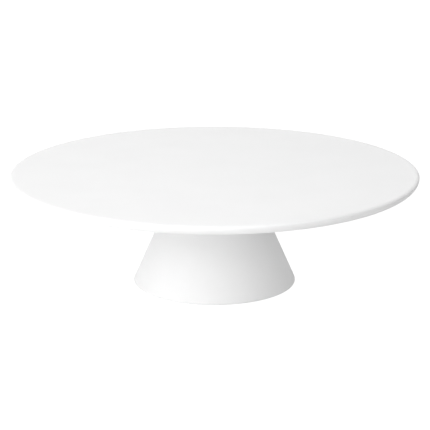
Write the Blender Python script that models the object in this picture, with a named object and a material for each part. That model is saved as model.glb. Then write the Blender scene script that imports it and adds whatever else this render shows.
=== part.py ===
"""A footed cake stand: a flat round plate clamped on a hollow cone by a hand screw from below.

Metres, +Z up. The origin is the centre of the face the stand rests on. Every piece is turned about
the stand's own axis and is modelled from a flat face of its own, placed at that face's height.
"""

from math import atan2, cos, hypot, pi, radians, sin, tan

import bmesh
import bpy
from mathutils import Vector

# Overall size
STAND_HEIGHT = 0.0855
PLATE_RADIUS = 0.150
BASE_RADIUS = 0.0610
WALL_LEAN = radians(24.0)

# Gap between pieces that touch
GAP = 0.0003

# Plate: a flat skin with a thickened rim and a central boss underneath
PLATE_SKIN = 0.0045
RIM_DEPTH = 0.0070
RIM_TOP_RUN = 0.0030
RIM_TOP_RISE = 0.0015
RIM_UNDER_RUN = 0.0116
RIM_UNDER_TURN = radians(55.0)
RIM_LAND = 0.0045
RIM_STEP_FILLET = 0.0012
BOSS_RADIUS = 0.010
BOSS_DROP = 0.0085
BOSS_FILLET = 0.0008
CENTRE_LAND = 0.040

# Pedestal: a cone with a thick foot, a flat top and a socket for the plate's boss
WALL = 0.004
FOOT_PROUD = 0.0006
FOOT_INNER_RADIUS = 0.0525
FOOT_EDGE_ROUND = 0.0010
FOOT_INNER_FILLET = 0.0060
TOP_EDGE_ROUND = 0.0012
WEB = 0.004
WEB_FILLET = 0.0020
SOCKET_CLEARANCE = 0.0004
SOCKET_FLOOR_CLEARANCE = 0.0006
SOCKET_WALL = 0.003
SOCKET_FLOOR = 0.0036
SOCKET_CHAMFER = 0.0005

# Silicone rings in grooves
GASKET_INNER_RADIUS = 0.0147
GASKET_WIDTH = 0.0066
GASKET_THICKNESS = 0.0009
GASKET_CHAMFER = 0.0002
FOOT_RING_INNER_RADIUS = 0.0547
FOOT_RING_WIDTH = 0.0030
FOOT_RING_HEIGHT = 0.0019
FOOT_RING_ROUND = 0.0004

# M6 hand screw
THREAD_RADIUS = 0.0030
RUNNING_RADIUS = THREAD_RADIUS + GAP
ENGAGEMENT = 0.006
INSERT_RADIUS = 0.0042
INSERT_ROOF = 0.0010
TIP_CLEARANCE = 0.0010
CUSHION_RADIUS = 0.0110
LOAD_WASHER_RADIUS = 0.0090
WASHER_THICKNESS = 0.0012
WASHER_CHAMFER = 0.00015
KNOB_RADIUS = 0.0140
KNOB_HEIGHT = 0.0120
KNOB_LOBES = 6
LOBE_DEPTH = 0.0022
KNOB_ROUND = 0.0018
HUB_RADIUS = 0.0065
HUB_HEIGHT = 0.0020
HUB_ROUND = 0.0005
STUD_SEAT = 0.0033
TIP_CHAMFER = 0.0006

# Facets
ROUND_STEPS = 72
SMALL_STEPS = 30
KNOB_STEPS = 48
RIM_STEPS = 4
FILLET_STEPS = 2
SHARP_ANGLE = radians(30.0)
MERGE = 0.00001

# Heights that follow from the sizes above
PLATE_Z = STAND_HEIGHT - PLATE_SKIN
PEDESTAL_TOP_Z = PLATE_Z - GAP
BOSS_BOTTOM_Z = PLATE_Z - BOSS_DROP
SOCKET_FLOOR_Z = BOSS_BOTTOM_Z - SOCKET_FLOOR_CLEARANCE
SOCKET_UNDERSIDE_Z = SOCKET_FLOOR_Z - SOCKET_FLOOR
CUSHION_Z = SOCKET_UNDERSIDE_Z - GAP - WASHER_THICKNESS
LOAD_WASHER_Z = CUSHION_Z - GAP - WASHER_THICKNESS
KNOB_Z = LOAD_WASHER_Z - GAP - HUB_HEIGHT - KNOB_HEIGHT
STUD_Z = KNOB_Z + STUD_SEAT
STUD_LENGTH = BOSS_BOTTOM_Z + ENGAGEMENT - STUD_Z
INSERT_HEIGHT = ENGAGEMENT + TIP_CLEARANCE + INSERT_ROOF


def clear_scene():
    for thing in list(bpy.data.objects):
        bpy.data.objects.remove(thing)


def material(name, colour, roughness, metallic=0.0):
    made = bpy.data.materials.new(name)
    made.use_nodes = True
    shader = made.node_tree.nodes["Principled BSDF"]
    shader.inputs["Base Color"].default_value = (*colour, 1.0)
    shader.inputs["Roughness"].default_value = roughness
    shader.inputs["Metallic"].default_value = metallic
    return made


def arc(centre, run, rise, start, end, steps):
    """Points on an ellipse about centre, with half axes run and rise, angles from +r towards +z."""
    angles = [start + (end - start) * step / steps for step in range(steps + 1)]
    return [(centre[0] + run * cos(a), centre[1] + rise * sin(a)) for a in angles]


def filleted(corners, steps=FILLET_STEPS):
    """A closed outline through (r, z, fillet) corners, each fillet an arc tangent to both sides."""
    outline = []
    for index, (r, z, fillet) in enumerate(corners):
        here = Vector((r, z))
        if fillet == 0:
            outline.append(tuple(here))
            continue
        before = (Vector(corners[index - 1][:2]) - here).normalized()
        after = (Vector(corners[(index + 1) % len(corners)][:2]) - here).normalized()
        half = before.angle(after) / 2
        centre = here + (before + after).normalized() * fillet / sin(half)
        first = here + before * fillet / tan(half) - centre
        last = here + after * fillet / tan(half) - centre
        turn = pi - 2 * half
        for step in range(steps + 1):
            share = step / steps
            spoke = (first * sin((1 - share) * turn) + last * sin(share * turn)) / sin(turn)
            outline.append(tuple(centre + spoke))
    return outline


def block(inner, outer, bottom, top, corner):
    """Corners of a rectangular ring section, all turned by the same fillet."""
    return [(outer, top, corner), (outer, bottom, corner), (inner, bottom, corner), (inner, top, corner)]


def turned(name, outline, steps, is_ring):
    """Spins an (r, z) outline about Z: a ring's outline closes on itself, any other ends on the axis."""
    shape = bmesh.new()
    points = [shape.verts.new((r, 0.0, z)) for r, z in outline]
    pairs = list(zip(points, points[1:]))
    if is_ring:
        pairs.append((points[-1], points[0]))
    edges = [shape.edges.new(pair) for pair in pairs]
    bmesh.ops.spin(
        shape, geom=points + edges, cent=(0, 0, 0), axis=(0, 0, 1), angle=2 * pi, steps=steps, use_merge=True
    )
    bmesh.ops.remove_doubles(shape, verts=shape.verts, dist=MERGE)
    bmesh.ops.recalc_face_normals(shape, faces=shape.faces)
    mesh = bpy.data.meshes.new(name)
    shape.to_mesh(mesh)
    shape.free()
    return mesh


def world_height(thing):
    """Height of an object, or 0 for none, where it and all its parents are only moved along Z."""
    return thing.location.z + world_height(thing.parent) if thing else 0.0


def joint_empty(name, height, holder=None):
    """An empty on the stand's axis that carries the pieces of one moving body."""
    empty = bpy.data.objects.new(name, None)
    bpy.context.scene.collection.objects.link(empty)
    empty.parent = holder
    empty.location.z = height - world_height(holder)
    return empty


def place(mesh, look, height, holder=None):
    """Adds a mesh as an object of the same name, its own zero at this height on the stand's axis."""
    mesh.shade_smooth()
    mesh.set_sharp_from_angle(angle=SHARP_ANGLE)
    mesh.materials.append(look)
    piece = bpy.data.objects.new(mesh.name, mesh)
    bpy.context.scene.collection.objects.link(piece)
    piece.parent = holder
    piece.location.z = height - world_height(holder)
    return piece


def serving_plate(look, holder):
    """Zero is the flat underside that rests on the pedestal."""
    rim_z = PLATE_SKIN - RIM_TOP_RISE
    under_rise = (RIM_DEPTH - RIM_TOP_RISE) / sin(RIM_UNDER_TURN)
    step_z = PLATE_SKIN - RIM_DEPTH
    bore = INSERT_RADIUS + GAP
    bore_roof = INSERT_HEIGHT + GAP - BOSS_DROP
    outline = [(0.0, PLATE_SKIN), (CENTRE_LAND, PLATE_SKIN)]
    rim_top = (PLATE_RADIUS - RIM_TOP_RUN, rim_z)
    outline += arc(rim_top, RIM_TOP_RUN, RIM_TOP_RISE, pi / 2, 0, RIM_STEPS)
    rim_under = (PLATE_RADIUS - RIM_UNDER_RUN, rim_z)
    outline += arc(rim_under, RIM_UNDER_RUN, under_rise, 0, -RIM_UNDER_TURN, RIM_STEPS)[1:]
    land_end = (outline[-1][0] - RIM_LAND, step_z + RIM_STEP_FILLET)
    outline += arc(land_end, RIM_STEP_FILLET, RIM_STEP_FILLET, -pi / 2, -pi, FILLET_STEPS)
    step_top = (land_end[0] - 2 * RIM_STEP_FILLET, -RIM_STEP_FILLET)
    outline += arc(step_top, RIM_STEP_FILLET, RIM_STEP_FILLET, 0, pi / 2, FILLET_STEPS)
    outline += [(CENTRE_LAND, 0.0)]
    boss_root = (BOSS_RADIUS + BOSS_FILLET, -BOSS_FILLET)
    outline += arc(boss_root, BOSS_FILLET, BOSS_FILLET, pi / 2, pi, FILLET_STEPS)
    outline += [(BOSS_RADIUS, BOSS_FILLET - BOSS_DROP), (BOSS_RADIUS - BOSS_FILLET, -BOSS_DROP)]
    outline += [(bore, -BOSS_DROP), (bore, bore_roof), (0.0, bore_roof)]
    return place(turned("serving_plate", outline, ROUND_STEPS, False), look, PLATE_Z, holder)


def plate_insert(look, holder):
    """A blind threaded sleeve, open at its lower end, flush with the end of the boss."""
    roof = INSERT_HEIGHT - INSERT_ROOF
    outline = [(0.0, INSERT_HEIGHT), (INSERT_RADIUS, INSERT_HEIGHT), (INSERT_RADIUS, 0.0)]
    outline += [(RUNNING_RADIUS, 0.0), (RUNNING_RADIUS, roof), (0.0, roof)]
    return place(turned("plate_insert", outline, SMALL_STEPS, False), look, BOSS_BOTTOM_Z, holder)


def groove(inner, outer, mouth, floor):
    """Corners of a ring's groove, from its outer lip across its floor to its inner lip."""
    return [
        (outer + GAP, mouth, 0),
        (outer + GAP, floor, 0),
        (inner - GAP, floor, 0),
        (inner - GAP, mouth, 0),
    ]


def pedestal(look):
    """Zero is the foot's flat land. The outline runs down the outside and up the inside."""
    top = PEDESTAL_TOP_Z - FOOT_PROUD
    web_underside = top - WEB
    inner_radius = BASE_RADIUS - WALL / cos(WALL_LEAN)
    foot_inner_top = (inner_radius - FOOT_INNER_RADIUS) / tan(WALL_LEAN)
    socket = BOSS_RADIUS + SOCKET_CLEARANCE
    socket_floor = SOCKET_FLOOR_Z - FOOT_PROUD
    hole = THREAD_RADIUS + SOCKET_CLEARANCE
    foot_ring_outer = FOOT_RING_INNER_RADIUS + FOOT_RING_WIDTH
    foot_groove_floor = FOOT_RING_HEIGHT + GAP - FOOT_PROUD
    gasket_outer = GASKET_INNER_RADIUS + GASKET_WIDTH
    gasket_floor = top - GASKET_THICKNESS - GAP
    gasket_groove = groove(GASKET_INNER_RADIUS, gasket_outer, top, gasket_floor)
    corners = [
        (BASE_RADIUS - top * tan(WALL_LEAN), top, TOP_EDGE_ROUND),
        (BASE_RADIUS, 0, FOOT_EDGE_ROUND),
        *groove(FOOT_RING_INNER_RADIUS, foot_ring_outer, 0, foot_groove_floor),
        (FOOT_INNER_RADIUS, 0, FOOT_EDGE_ROUND),
        (FOOT_INNER_RADIUS, foot_inner_top, FOOT_INNER_FILLET),
        (inner_radius - web_underside * tan(WALL_LEAN), web_underside, WEB_FILLET),
        (socket + SOCKET_WALL, web_underside, WEB_FILLET),
        (socket + SOCKET_WALL, socket_floor - SOCKET_FLOOR, SOCKET_CHAMFER),
        (hole, socket_floor - SOCKET_FLOOR, 0),
        (hole, socket_floor, 0),
        (socket, socket_floor, 0),
        (socket, top, SOCKET_CHAMFER),
        *reversed(gasket_groove),
    ]
    return place(turned("pedestal", filleted(corners), ROUND_STEPS, True), look, FOOT_PROUD)


def seat_gasket(look):
    outer = GASKET_INNER_RADIUS + GASKET_WIDTH
    section = filleted(block(GASKET_INNER_RADIUS, outer, 0, GASKET_THICKNESS, GASKET_CHAMFER), 1)
    return place(turned("seat_gasket", section, SMALL_STEPS, True), look, PEDESTAL_TOP_Z - GASKET_THICKNESS)


def foot_ring(look):
    outer = FOOT_RING_INNER_RADIUS + FOOT_RING_WIDTH
    section = filleted(block(FOOT_RING_INNER_RADIUS, outer, 0, FOOT_RING_HEIGHT, FOOT_RING_ROUND), 1)
    return place(turned("foot_ring", section, ROUND_STEPS, True), look, 0.0)


def washer(name, radius, look, height, holder):
    section = filleted(block(RUNNING_RADIUS, radius, 0, WASHER_THICKNESS, WASHER_CHAMFER), 1)
    return place(turned(name, section, SMALL_STEPS, True), look, height, holder)


def scallop(mesh):
    """Presses the grip's hollows in between its lobes, fading out towards the hub."""
    for vertex in mesh.vertices:
        x, y, z = vertex.co
        radius = hypot(x, y)
        if radius <= HUB_RADIUS:
            continue
        reach = (radius - HUB_RADIUS) / (KNOB_RADIUS - HUB_RADIUS)
        hollow = LOBE_DEPTH * reach * (1 - cos(KNOB_LOBES * atan2(y, x))) / 2
        vertex.co = (x * (radius - hollow) / radius, y * (radius - hollow) / radius, z)


def clamp_knob(look, holder):
    """Zero is the knob's lowest face; a blind bore from the top holds the stud."""
    height = KNOB_HEIGHT + HUB_HEIGHT
    seat = STUD_SEAT - GAP
    corners = [
        (0, seat, 0),
        (RUNNING_RADIUS, seat, 0),
        (RUNNING_RADIUS, height, 0),
        (HUB_RADIUS, height, HUB_ROUND),
        (HUB_RADIUS, KNOB_HEIGHT, 0),
        (KNOB_RADIUS, KNOB_HEIGHT, KNOB_ROUND),
        (KNOB_RADIUS, 0, KNOB_ROUND),
        (0, 0, 0),
    ]
    mesh = turned("clamp_knob", filleted(corners), KNOB_STEPS, False)
    scallop(mesh)
    return place(mesh, look, KNOB_Z, holder)


def clamp_stud(look, holder):
    outline = [(0.0, STUD_LENGTH), (THREAD_RADIUS - TIP_CHAMFER, STUD_LENGTH)]
    outline += [(THREAD_RADIUS, STUD_LENGTH - TIP_CHAMFER), (THREAD_RADIUS, 0.0), (0.0, 0.0)]
    return place(turned("clamp_stud", outline, SMALL_STEPS, False), look, STUD_Z, holder)


def build():
    clear_scene()
    melamine = material("white_melamine", (0.86, 0.86, 0.85), 0.32)
    silicone = material("clear_silicone", (0.80, 0.80, 0.78), 0.55)
    brass = material("brass", (0.72, 0.52, 0.24), 0.35, 1.0)
    steel = material("stainless_steel", (0.62, 0.62, 0.63), 0.30, 1.0)
    grip = material("grip_plastic", (0.06, 0.06, 0.065), 0.55)

    plate_lift = joint_empty("plate_lift", PLATE_Z)
    knob_travel = joint_empty("knob_travel", LOAD_WASHER_Z)
    knob_turn = joint_empty("knob_turn", KNOB_Z, knob_travel)

    pedestal(melamine)
    seat_gasket(silicone)
    foot_ring(silicone)
    serving_plate(melamine, plate_lift)
    plate_insert(brass, plate_lift)
    washer("cushion_washer", CUSHION_RADIUS, silicone, CUSHION_Z, knob_travel)
    washer("load_washer", LOAD_WASHER_RADIUS, steel, LOAD_WASHER_Z, knob_travel)
    clamp_knob(grip, knob_turn)
    clamp_stud(steel, knob_turn)


build()
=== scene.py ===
"""The looks of the cake stand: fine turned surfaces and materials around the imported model.

Lengths are in metres. Outlines are lists of (r, z) points, turned about the stand's upright axis.
"""

from math import atan2, cos, hypot, pi, radians, sin, tan

import bmesh
import bpy
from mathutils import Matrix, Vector


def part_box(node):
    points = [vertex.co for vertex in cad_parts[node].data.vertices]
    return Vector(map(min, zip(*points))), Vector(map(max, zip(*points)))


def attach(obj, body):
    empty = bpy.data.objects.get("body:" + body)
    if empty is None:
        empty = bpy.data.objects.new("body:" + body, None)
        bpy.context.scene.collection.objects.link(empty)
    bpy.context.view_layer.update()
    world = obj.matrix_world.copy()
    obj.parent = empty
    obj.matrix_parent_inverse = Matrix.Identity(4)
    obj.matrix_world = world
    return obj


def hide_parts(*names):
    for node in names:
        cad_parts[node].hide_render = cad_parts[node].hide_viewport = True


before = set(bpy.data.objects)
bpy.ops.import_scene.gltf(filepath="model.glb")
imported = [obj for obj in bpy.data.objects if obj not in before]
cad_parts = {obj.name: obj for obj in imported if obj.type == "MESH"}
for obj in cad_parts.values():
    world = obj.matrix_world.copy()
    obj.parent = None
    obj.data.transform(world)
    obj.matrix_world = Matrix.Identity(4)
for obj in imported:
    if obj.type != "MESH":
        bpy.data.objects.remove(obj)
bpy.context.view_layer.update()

# Camera: looks down at the stand from the front, from about a metre away, with the lens and sensor in mm
CAMERA_DISTANCE = 1.089
CAMERA_ELEVATION = radians(15.81)
CAMERA_AIM = Vector((0.0003, 0.0, 0.0506))
CAMERA_LENS = 122.5
CAMERA_SENSOR = 36.0

# Gap that touching pieces keep
GAP = 0.0003

# Plate
PLATE_SKIN = 0.0045
RIM_DEPTH = 0.0070
RIM_TOP_RUN = 0.0030
RIM_TOP_RISE = 0.0015
RIM_UNDER_RUN = 0.0116
RIM_UNDER_TURN = radians(55.0)
RIM_LAND = 0.0045
RIM_STEP_FILLET = 0.0012
BOSS_RADIUS = 0.010
BOSS_EDGE = 0.0008
INSERT_DEPTH = 0.0083

# Pedestal
BASE_RADIUS = 0.0610
WALL_LEAN = radians(24.0)
WALL = 0.004
WEB = 0.004
FOOT_INNER_RADIUS = 0.0525
FOOT_EDGE_ROUND = 0.0010
FOOT_INNER_FILLET = 0.0060
TOP_EDGE_ROUND = 0.0012
WEB_FILLET = 0.0020
SOCKET_RADIUS = 0.0104
SOCKET_WALL = 0.003
SOCKET_FLOOR = 0.0036
SOCKET_DEPTH = 0.0088
SOCKET_EDGE = 0.0005
SCREW_HOLE_RADIUS = 0.0034

# Hand screw: the stud's thread, the brass insert, the knob, the washers and the silicone rings
THREAD_DEPTH = 0.0006
THREAD_PITCH = 0.0010
THREAD_ROWS_PER_TURN = 12
THREAD_FADE = 0.0008
INSERT_BORE = 0.0033
INSERT_THREAD_DEPTH = 0.00015
INSERT_ROOF = 0.0010
KNURL_TEETH = 32
KNURL_DEPTH = 0.00015
KNURL_STEPS_PER_TOOTH = 4
WAIST_DEPTH = 0.0003
WAIST_PART = 12
WAVE_STEEPNESS = 1.35
WAVE_ROOT = 0.15
KNOB_LOBES = 6
LOBE_DEPTH = 0.0022
KNOB_ROUND = 0.0018
HUB_RADIUS = 0.0065
HUB_HEIGHT = 0.0020
HUB_ROUND = 0.0005
KNOB_DISH_RADIUS = 0.0082
KNOB_DISH_DEPTH = 0.0007
STUD_SEAT = 0.0030
TIP_CHAMFER = 0.0006
STAMPED_EDGE = 0.0002
RUBBER_EDGE = 0.0003
GASKET_INNER = 0.0147
FOOT_RING_INNER = 0.0547

# Facets: steps in a whole turn of a large, a lobed and a small piece, in an arc and in a fillet
ROUND_STEPS = 256
LOBED_STEPS = 192
SMALL_STEPS = 96
ARC_STEPS = 12
FILLET_STEPS = 6

# Smooth shading: how far from a long straight's ends extra points hold it flat, and what stays sharp
HOLD = 0.0003
LONG_STRAIGHT = 4 * HOLD
SHARP_ANGLE = radians(35.0)

# Points closer together than this are one point
MERGE = 0.000002

# Studio: what the camera sees is a pure white sweep, and a greyer floor throws light back on the stand.
# That floor also carries a painted glow that stands in for lamp light bounced off it: brighter on the left,
# where the light comes from, and none on the right.
STAGE_RADIUS = 12.0
STAGE_SEGMENTS = 64
DOME_SEGMENTS = 48
DOME_RINGS = 24
STAGE_ROUGHNESS = 0.9
SWEEP_GLOW = 1.1
BOUNCE_COLOUR = 0.73
# Painted glow of the bounce floor, standing in for bounced lamp light: strength on the left and on the right
BOUNCE_GLOW_LEFT = 0.43
BOUNCE_GLOW_RIGHT = 0.0
BOUNCE_BLEND = 0.15
BOUNCE_DROP = 0.0005
BACKDROP_GLOW = 1.1
WORLD_STRENGTH = 0.473
LIGHT_DISTANCE = 1.6
LIGHT_SIZE = 0.9
LIGHTS = [
    # name, azimuth and elevation in degrees, watts
    ("left_front", -25, 35, 4.28),
    ("left_front_low", -25, 12, 1.1),
    ("left_key", -50, 35, 7.8),
    ("left_low", -50, 12, 2.6),
    ("left_high", -75, 60, 4.97),
    ("right_front_low", 25, 12, 3.42),
    ("right_back_low", 150, 12, 2.01),
    ("back", 180, 30, 3.68),
]


# ---------------------------------------------------------------- outlines


def arc(centre, run, rise, start, end, steps=ARC_STEPS):
    """Points on an ellipse about centre, with half axes run and rise, angles from +r towards +z."""
    angles = [start + (end - start) * step / steps for step in range(steps + 1)]
    return [(centre[0] + run * cos(a), centre[1] + rise * sin(a)) for a in angles]


def filleted(corners, is_ring=True):
    """An outline through (r, z, fillet radius) corners, each fillet an arc tangent to both sides."""
    outline = []
    for index, (r, z, fillet) in enumerate(corners):
        here = Vector((r, z))
        if fillet == 0:
            outline.append(tuple(here))
            continue
        before = (Vector(corners[index - 1][:2]) - here).normalized()
        after = (Vector(corners[(index + 1) % len(corners)][:2]) - here).normalized()
        half = before.angle(after) / 2
        centre = here + (before + after).normalized() * fillet / sin(half)
        first = here + before * fillet / tan(half) - centre
        last = here + after * fillet / tan(half) - centre
        turn = pi - 2 * half
        for step in range(FILLET_STEPS + 1):
            share = step / FILLET_STEPS
            spoke = (first * sin((1 - share) * turn) + last * sin(share * turn)) / sin(turn)
            outline.append(tuple(centre + spoke))
    return held(outline, is_ring)


def held(outline, is_ring):
    """Adds a point near both ends of every long straight, so that smooth shading leaves it straight."""
    dense = []
    ends = outline[1:] + outline[:1] if is_ring else outline[1:]
    for start, end in zip(outline, ends):
        dense.append(start)
        run = Vector(end) - Vector(start)
        if run.length > LONG_STRAIGHT:
            dense.append(tuple(Vector(start) + run.normalized() * HOLD))
            dense.append(tuple(Vector(end) - run.normalized() * HOLD))
    return dense if is_ring else dense + [outline[-1]]


def block(inner, outer, bottom, top, fillet):
    """The outline of a rectangular ring section with four equal fillets."""
    corners = [(outer, top, fillet), (outer, bottom, fillet), (inner, bottom, fillet), (inner, top, fillet)]
    return filleted(corners)


def rows(radius, start, end):
    """Closely spaced points up or down a threaded or knurled wall, which reshape then moves."""
    count = max(1, round(abs(end - start) / THREAD_PITCH * THREAD_ROWS_PER_TURN))
    return [(radius, start + (end - start) * step / count) for step in range(count + 1)]


# ---------------------------------------------------------------- surfaces


def turned(name, outline, steps, is_ring, reshape=None):
    """Spins an (r, z) outline about Z. reshape, if given, maps (r, z, angle) to a point's final r and z."""
    shape = bmesh.new()
    points = [shape.verts.new((r, 0.0, z)) for r, z in outline]
    pairs = list(zip(points, points[1:]))
    if is_ring:
        pairs.append((points[-1], points[0]))
    edges = [shape.edges.new(pair) for pair in pairs]
    bmesh.ops.spin(
        shape, geom=points + edges, cent=(0, 0, 0), axis=(0, 0, 1), angle=2 * pi, steps=steps, use_merge=True
    )
    bmesh.ops.remove_doubles(shape, verts=shape.verts, dist=MERGE)
    bmesh.ops.recalc_face_normals(shape, faces=shape.faces)
    if reshape:
        for vertex in shape.verts:
            x, y, z = vertex.co
            radius = hypot(x, y)
            if radius > MERGE:
                angle = atan2(y, x)
                new_radius, new_z = reshape(radius, z, angle)
                vertex.co = (new_radius * cos(angle), new_radius * sin(angle), new_z)
    mesh = bpy.data.meshes.new(name)
    shape.to_mesh(mesh)
    shape.free()
    mesh.shade_smooth()
    mesh.set_sharp_from_angle(angle=SHARP_ANGLE)
    return mesh


def add_object(name, data):
    """Makes an object of a mesh, light or camera and puts it in the scene."""
    made = bpy.data.objects.new(name, data)
    bpy.context.scene.collection.objects.link(made)
    return made


def add_piece(node, mesh, look, body):
    """Adds the fine surface that stands for a CAD node, on that node's body."""
    piece = add_object(node + "_surface", mesh)
    mesh.materials.append(look.material)
    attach(piece, body)
    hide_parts(node)


def wave(phase):
    """A triangle wave with flats at its crests and roots, from 0 to 1."""
    ramp = abs(2 * (phase % 1.0) - 1)
    return min(1.0, max(0.0, WAVE_STEEPNESS * ramp - WAVE_ROOT))


def serving_plate(look):
    """The plate: flat top, flattened round rim, a step under the rim, a plain underside and the boss."""
    low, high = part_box("serving_plate")
    radius, top, boss_end = high.x, high.z, low.z
    underside = top - PLATE_SKIN
    rim_z = top - RIM_TOP_RISE
    under_rise = (RIM_DEPTH - RIM_TOP_RISE) / sin(RIM_UNDER_TURN)
    step_z = top - RIM_DEPTH
    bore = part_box("plate_insert")[1].x + GAP
    outline = [(0.0, top)]
    outline += arc((radius - RIM_TOP_RUN, rim_z), RIM_TOP_RUN, RIM_TOP_RISE, pi / 2, 0)
    outline += arc((radius - RIM_UNDER_RUN, rim_z), RIM_UNDER_RUN, under_rise, 0, -RIM_UNDER_TURN)[1:]
    land_end = (outline[-1][0] - RIM_LAND, step_z + RIM_STEP_FILLET)
    outline += arc(land_end, RIM_STEP_FILLET, RIM_STEP_FILLET, -pi / 2, -pi, FILLET_STEPS)
    step_top = (land_end[0] - 2 * RIM_STEP_FILLET, underside - RIM_STEP_FILLET)
    outline += arc(step_top, RIM_STEP_FILLET, RIM_STEP_FILLET, 0, pi / 2, FILLET_STEPS)
    boss_root = (BOSS_RADIUS + BOSS_EDGE, underside - BOSS_EDGE)
    outline += arc(boss_root, BOSS_EDGE, BOSS_EDGE, pi / 2, pi, FILLET_STEPS)
    boss_edge = (BOSS_RADIUS - BOSS_EDGE, boss_end + BOSS_EDGE)
    outline += arc(boss_edge, BOSS_EDGE, BOSS_EDGE, 0, -pi / 2, FILLET_STEPS)
    outline += [(bore, boss_end), (bore, boss_end + INSERT_DEPTH), (0.0, boss_end + INSERT_DEPTH)]
    mesh = turned("serving_plate_surface", held(outline, False), ROUND_STEPS, False)
    add_piece("serving_plate", mesh, look, "plate")


def pedestal(look):
    """The hollow cone, with a groove in its foot, a groove in its top, and the plate's socket."""
    low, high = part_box("pedestal")
    foot, top = low.z, high.z
    ring_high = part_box("foot_ring")[1]
    gasket_low, gasket_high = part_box("seat_gasket")
    inner_radius = BASE_RADIUS - WALL / cos(WALL_LEAN)
    foot_inner_top = foot + (inner_radius - FOOT_INNER_RADIUS) / tan(WALL_LEAN)
    web_underside = top - WEB
    socket_floor = top - SOCKET_DEPTH
    socket_outer = SOCKET_RADIUS + SOCKET_WALL
    ring_groove = groove(FOOT_RING_INNER, ring_high.x, foot, ring_high.z + GAP)
    gasket_groove = groove(GASKET_INNER, gasket_high.x, top, gasket_low.z - GAP)
    corners = [
        (BASE_RADIUS - (top - foot) * tan(WALL_LEAN), top, TOP_EDGE_ROUND),
        (BASE_RADIUS, foot, FOOT_EDGE_ROUND),
        *ring_groove,
        (FOOT_INNER_RADIUS, foot, FOOT_EDGE_ROUND),
        (FOOT_INNER_RADIUS, foot_inner_top, FOOT_INNER_FILLET),
        (inner_radius - (web_underside - foot) * tan(WALL_LEAN), web_underside, WEB_FILLET),
        (socket_outer, web_underside, WEB_FILLET),
        (socket_outer, socket_floor - SOCKET_FLOOR, SOCKET_EDGE),
        (SCREW_HOLE_RADIUS, socket_floor - SOCKET_FLOOR, 0),
        (SCREW_HOLE_RADIUS, socket_floor, 0),
        (SOCKET_RADIUS, socket_floor, 0),
        (SOCKET_RADIUS, top, SOCKET_EDGE),
        *reversed(gasket_groove),
    ]
    mesh = turned("pedestal_surface", filleted(corners), ROUND_STEPS, True)
    add_piece("pedestal", mesh, look, "pedestal")


def groove(inner, outer, mouth, floor_z):
    """Corners of a ring's groove, from its outer lip across its floor to its inner lip."""
    return [
        (outer + GAP, mouth, 0),
        (outer + GAP, floor_z, 0),
        (inner - GAP, floor_z, 0),
        (inner - GAP, mouth, 0),
    ]


def plate_insert(look):
    """A blind brass sleeve: two knurled bands with a waist between, and a shallow thread in its bore."""
    low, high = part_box("plate_insert")
    radius, bottom, top = high.x, low.z, high.z
    roof = top - INSERT_ROOF
    middle = (bottom + top) / 2
    height = top - bottom
    outline = [(0.0, top), (radius - KNURL_DEPTH, top)]
    outline += rows(radius, top - KNURL_DEPTH, bottom + KNURL_DEPTH)
    outline += [(radius - KNURL_DEPTH, bottom), (INSERT_BORE, bottom)]
    outline += rows(INSERT_BORE, bottom + KNURL_DEPTH, roof) + [(0.0, roof)]

    def reshape(r, z, angle):
        if r > radius - MERGE:
            if abs(z - middle) < height / WAIST_PART:
                return r - WAIST_DEPTH, z
            return r - KNURL_DEPTH * wave(angle * KNURL_TEETH / (2 * pi)), z
        if abs(r - INSERT_BORE) < MERGE and z > bottom:
            return r - INSERT_THREAD_DEPTH * thread(z, angle, bottom, roof), z
        return r, z

    steps = KNURL_STEPS_PER_TOOTH * KNURL_TEETH
    mesh = turned("plate_insert_surface", outline, steps, False, reshape)
    add_piece("plate_insert", mesh, look, "plate")


def thread(z, angle, start, end):
    """How far, from 0 to 1, a right-hand thread stands up at a point, fading out at both ends."""
    fade = min(1.0, max(0.0, min(z - start, end - z) / THREAD_FADE))
    return fade * wave(z / THREAD_PITCH - angle / (2 * pi))


def clamp_stud(look):
    """The M6 stud: plain where the knob holds it, threaded from there to its chamfered tip."""
    low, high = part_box("clamp_stud")
    radius, bottom, top = high.x, low.z, high.z
    thread_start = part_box("clamp_knob")[1].z
    outline = [(0.0, top), (radius - THREAD_DEPTH, top), (radius, top - TIP_CHAMFER)]
    outline += rows(radius, top - TIP_CHAMFER, thread_start)[1:]
    outline += [(radius, bottom + STAMPED_EDGE), (radius - STAMPED_EDGE, bottom), (0.0, bottom)]

    def cut_share(z):
        """The cut deepens over the run-out above the knob, and is at full depth from there to the tip."""
        return min(1.0, (z - thread_start) / THREAD_FADE)

    def reshape(r, z, angle):
        if r < radius - MERGE or z < thread_start:
            return r, z
        return r - THREAD_DEPTH * (1 - thread(z, angle, thread_start, top)) * cut_share(z), z

    mesh = turned("clamp_stud_surface", outline, SMALL_STEPS, False, reshape)
    add_piece("clamp_stud", mesh, look, "knob")


def clamp_knob(look):
    """The lobed knob, with a hub above, a blind bore for the stud and a shallow dish in its lower end."""
    low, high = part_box("clamp_knob")
    radius, bottom, top = high.x, low.z, high.z
    shoulder = top - HUB_HEIGHT
    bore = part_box("clamp_stud")[1].x + GAP
    corners = [
        (0, bottom + STUD_SEAT, 0),
        (bore, bottom + STUD_SEAT, 0),
        (bore, top, 0),
        (HUB_RADIUS, top, HUB_ROUND),
        (HUB_RADIUS, shoulder, HUB_ROUND),
        (radius, shoulder, KNOB_ROUND),
        (radius, bottom, KNOB_ROUND),
        (KNOB_DISH_RADIUS + KNOB_DISH_DEPTH, bottom, KNOB_DISH_DEPTH / 2),
        (KNOB_DISH_RADIUS, bottom + KNOB_DISH_DEPTH, KNOB_DISH_DEPTH / 2),
        (0, bottom + KNOB_DISH_DEPTH, 0),
    ]

    def reshape(r, z, angle):
        reach = max(0.0, r - HUB_RADIUS) / (radius - HUB_RADIUS)
        return r - LOBE_DEPTH * reach * (1 - cos(KNOB_LOBES * angle)) / 2, z

    outline = filleted(corners, False)
    mesh = turned("clamp_knob_surface", outline, LOBED_STEPS, False, reshape)
    add_piece("clamp_knob", mesh, look, "knob")


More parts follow.
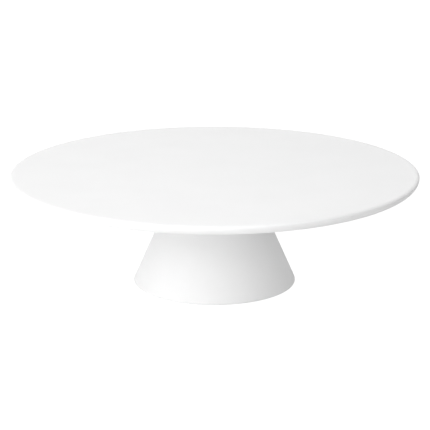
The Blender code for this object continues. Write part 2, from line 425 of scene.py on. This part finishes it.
def simple_ring(node, inner, edge, steps, look, body):
    """A washer or a silicone ring: the CAD node's own section with rounder edges."""
    low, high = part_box(node)
    mesh = turned(node + "_surface", block(inner, high.x, low.z, high.z, edge), steps, True)
    add_piece(node, mesh, look, body)


# ---------------------------------------------------------------- materials


class Look:
    """A material, named after one of the record's slots or a stage surface, and the nodes that shade it.

    Patterns are laid out in the object's own metres.
    """

    def __init__(self, slot, colour, roughness, metallic=0.0):
        self.slot = slot
        self.material = bpy.data.materials.new(slot + "_finish")
        self.material.use_nodes = True
        self.tree = self.material.node_tree
        self.shader = self.tree.nodes["Principled BSDF"]
        self.shader.inputs["Base Color"].default_value = (*colour, 1.0)
        self.shader.inputs["Roughness"].default_value = roughness
        self.shader.inputs["Metallic"].default_value = metallic
        self.place = self.node("ShaderNodeTexCoord").outputs["Object"]

    def node(self, kind, **settings):
        """Adds a shader node and sets its properties."""
        made = self.tree.nodes.new(kind)
        for name, value in settings.items():
            setattr(made, name, value)
        return made

    def link(self, source, target):
        self.tree.links.new(source, target)

    def noise(self, size, detail=2.0, place=None):
        """Noise whose features are about size metres across."""
        made = self.node("ShaderNodeTexNoise")
        made.inputs["Scale"].default_value = 1.0 / size
        made.inputs["Detail"].default_value = detail
        self.link(place or self.place, made.inputs["Vector"])
        return made.outputs["Fac"]

    def spread(self, source, low, high, span=(0.3, 0.7)):
        """Maps a span of the source, as a rule the middle of a noise's range, onto low to high."""
        made = self.node("ShaderNodeMapRange")
        made.inputs["From Min"].default_value = span[0]
        made.inputs["From Max"].default_value = span[1]
        made.inputs["To Min"].default_value = low
        made.inputs["To Max"].default_value = high
        self.link(source, made.inputs["Value"])
        return made.outputs["Result"]

    def vary_colour(self, source, dark, light):
        """Lets the colour drift between two close tones."""
        made = self.node("ShaderNodeMix", data_type="RGBA")
        made.inputs["A"].default_value = (*dark, 1.0)
        made.inputs["B"].default_value = (*light, 1.0)
        self.link(self.spread(source, 0.0, 1.0), made.inputs["Factor"])
        self.link(made.outputs["Result"], self.shader.inputs["Base Color"])

    def vary_roughness(self, source, low, high):
        self.link(self.spread(source, low, high), self.shader.inputs["Roughness"])

    def relief(self, *layers):
        """Stacks (source, depth in metres) layers of bump."""
        normal = None
        for source, depth in layers:
            made = self.node("ShaderNodeBump")
            made.inputs["Distance"].default_value = depth
            self.link(source, made.inputs["Height"])
            if normal:
                self.link(normal, made.inputs["Normal"])
            normal = made.outputs["Normal"]
        self.link(normal, self.shader.inputs["Normal"])


def melamine():
    """Satin moulded melamine: nearly even white, with the faint ripple and grain of the moulding press."""
    look = Look("white_melamine", colour=(0.86, 0.86, 0.86), roughness=0.54)
    clouds = look.noise(size=0.045, detail=3.0)
    ripple = look.noise(size=0.0130, detail=1.0)
    grain = look.noise(size=0.0006, detail=2.0)
    look.vary_colour(clouds, dark=(0.855, 0.855, 0.855), light=(0.870, 0.870, 0.870))
    look.vary_roughness(look.noise(size=0.006, detail=3.0), low=0.50, high=0.58)
    look.relief((ripple, 0.00003), (grain, 0.000003))
    look.shader.inputs["Specular IOR Level"].default_value = 0.25
    return look


def silicone():
    """Milky silicone rubber, matte, with a little dust in its grain."""
    look = Look("clear_silicone", colour=(0.78, 0.78, 0.76), roughness=0.6)
    look.vary_colour(look.noise(size=0.003, detail=3.0), dark=(0.74, 0.74, 0.72), light=(0.80, 0.80, 0.78))
    look.vary_roughness(look.noise(size=0.0008), low=0.52, high=0.68)
    look.relief((look.noise(size=0.0004), 0.00001))
    look.shader.inputs["Subsurface Weight"].default_value = 0.2
    look.shader.inputs["Subsurface Radius"].default_value = (0.002, 0.002, 0.002)
    look.shader.inputs["Subsurface Scale"].default_value = 1.0
    return look


def turning_marks(look):
    """Fine noise drawn out across the axis, so that it makes marks that run round a turned piece."""
    made = look.node("ShaderNodeMapping")
    made.inputs["Scale"].default_value = (0.15, 0.15, 1.0)
    look.link(look.place, made.inputs["Vector"])
    return look.noise(size=0.0002, place=made.outputs["Vector"])


def stainless():
    """Stainless steel with fine turning marks, dulled a little by handling."""
    look = Look("stainless_steel", colour=(0.60, 0.60, 0.61), roughness=0.3, metallic=1.0)
    marks = turning_marks(look)
    look.vary_colour(look.noise(size=0.004, detail=3.0), dark=(0.56, 0.56, 0.57), light=(0.64, 0.64, 0.65))
    look.vary_roughness(marks, low=0.22, high=0.38)
    look.relief((marks, 0.000004))
    return look


def brass():
    """Machined brass with turning marks and slight tarnish."""
    look = Look("brass", colour=(0.72, 0.52, 0.24), roughness=0.35, metallic=1.0)
    marks = turning_marks(look)
    look.vary_colour(look.noise(size=0.002, detail=3.0), dark=(0.62, 0.43, 0.20), light=(0.76, 0.57, 0.28))
    look.vary_roughness(marks, low=0.26, high=0.42)
    look.relief((marks, 0.000004))
    return look


def grip_plastic():
    """Glass-filled nylon with a spark-eroded grain."""
    look = Look("grip_plastic", colour=(0.06, 0.06, 0.065), roughness=0.55)
    tint = look.noise(size=0.003, detail=3.0)
    look.vary_colour(tint, dark=(0.050, 0.050, 0.054), light=(0.070, 0.070, 0.075))
    look.vary_roughness(look.noise(size=0.0006), low=0.48, high=0.62)
    look.relief((look.noise(size=0.0004), 0.00002))
    return look


# ---------------------------------------------------------------- studio


def camera_only(thing):
    """Keeps a stage surface out of the light that reaches the stand."""
    thing.visible_diffuse = False
    thing.visible_glossy = False
    thing.visible_transmission = False
    thing.visible_shadow = False


def glowing(name, colour, glow):
    """A matt stage material with a white glow."""
    look = Look(name, (colour, colour, colour), STAGE_ROUGHNESS)
    look.shader.inputs["Specular IOR Level"].default_value = 0.0
    look.shader.inputs["Emission Color"].default_value = (1.0, 1.0, 1.0, 1.0)
    look.shader.inputs["Emission Strength"].default_value = glow
    return look


def add_stage(name, shape, look):
    """Adds a bmesh shape as a stage surface, which isn't part of the stand."""
    mesh = bpy.data.meshes.new(name)
    shape.to_mesh(mesh)
    shape.free()
    mesh.materials.append(look.material)
    thing = add_object(name, mesh)
    return thing


def make_disc(name, height, look):
    """A level stage disc."""
    shape = bmesh.new()
    bmesh.ops.create_circle(shape, cap_ends=True, radius=STAGE_RADIUS, segments=STAGE_SEGMENTS)
    disc = add_stage(name, shape, look)
    disc.location.z = height
    return disc


def make_stage():
    """A white sweep and a white dome that only the camera sees, and the floor that throws light back, both
    by reflection and by a painted glow that fades from left to right.
    """
    camera_only(make_disc("sweep", 0.0, glowing("sweep", 0.0, SWEEP_GLOW)))
    bounce = glowing("bounce_floor", BOUNCE_COLOUR, 0.0)
    # Painted glow: the bounce floor's emission stands in for lamp light bounced off the floor, strong on the
    # left and none on the right
    across = bounce.node("ShaderNodeSeparateXYZ")
    bounce.link(bounce.place, across.inputs["Vector"])
    span = (-BOUNCE_BLEND, BOUNCE_BLEND)
    glow = bounce.spread(across.outputs["X"], BOUNCE_GLOW_LEFT, BOUNCE_GLOW_RIGHT, span)
    bounce.link(glow, bounce.shader.inputs["Emission Strength"])
    make_disc("bounce_floor", -BOUNCE_DROP, bounce).visible_camera = False
    shape = bmesh.new()
    bmesh.ops.create_uvsphere(
        shape, u_segments=DOME_SEGMENTS, v_segments=DOME_RINGS, radius=STAGE_RADIUS
    )
    camera_only(add_stage("backdrop", shape, glowing("backdrop", 0.0, BACKDROP_GLOW)))


def aim(thing, place, target):
    """Puts a light or a camera at a place and points it at a target."""
    thing.location = place
    thing.rotation_euler = (Vector(target) - Vector(place)).to_track_quat("-Z", "Y").to_euler()


def make_lights():
    """Square softboxes aimed at the stand, azimuths measured from the front (-Y) towards +X, and an even
    white world."""
    for name, azimuth, elevation, watts in LIGHTS:
        data = bpy.data.lights.new(name, "AREA")
        data.shape = "SQUARE"
        data.size = LIGHT_SIZE
        data.energy = watts
        across, up = radians(azimuth), radians(elevation)
        toward = Vector((sin(across) * cos(up), -cos(across) * cos(up), sin(up)))
        light = add_object(name, data)
        light.visible_camera = False
        aim(light, CAMERA_AIM + LIGHT_DISTANCE * toward, CAMERA_AIM)
    world = bpy.data.worlds.new("studio")
    world.use_nodes = True
    background = world.node_tree.nodes["Background"]
    background.inputs["Color"].default_value = (1.0, 1.0, 1.0, 1.0)
    background.inputs["Strength"].default_value = WORLD_STRENGTH
    bpy.context.scene.world = world


def make_camera():
    """A camera at the photograph's viewing angle."""
    data = bpy.data.cameras.new("camera")
    data.lens = CAMERA_LENS
    data.sensor_width = CAMERA_SENSOR
    camera = add_object("camera", data)
    back = Vector((0, -cos(CAMERA_ELEVATION), sin(CAMERA_ELEVATION)))
    aim(camera, CAMERA_AIM + CAMERA_DISTANCE * back, CAMERA_AIM)
    bpy.context.scene.camera = camera


def build():
    """Stands a fine surface in for every CAD node."""
    white = melamine()
    clear = silicone()
    steel = stainless()
    serving_plate(white)
    pedestal(white)
    plate_insert(brass())
    clamp_stud(steel)
    clamp_knob(grip_plastic())
    simple_ring("seat_gasket", GASKET_INNER, RUBBER_EDGE, ROUND_STEPS, clear, "pedestal")
    simple_ring("foot_ring", FOOT_RING_INNER, RUBBER_EDGE, ROUND_STEPS, clear, "pedestal")
    simple_ring("cushion_washer", INSERT_BORE, RUBBER_EDGE, SMALL_STEPS, clear, "washers")
    simple_ring("load_washer", INSERT_BORE, STAMPED_EDGE, SMALL_STEPS, steel, "washers")


build()
make_camera()
make_lights()
make_stage()
bpy.context.scene.view_settings.view_transform = "Standard"
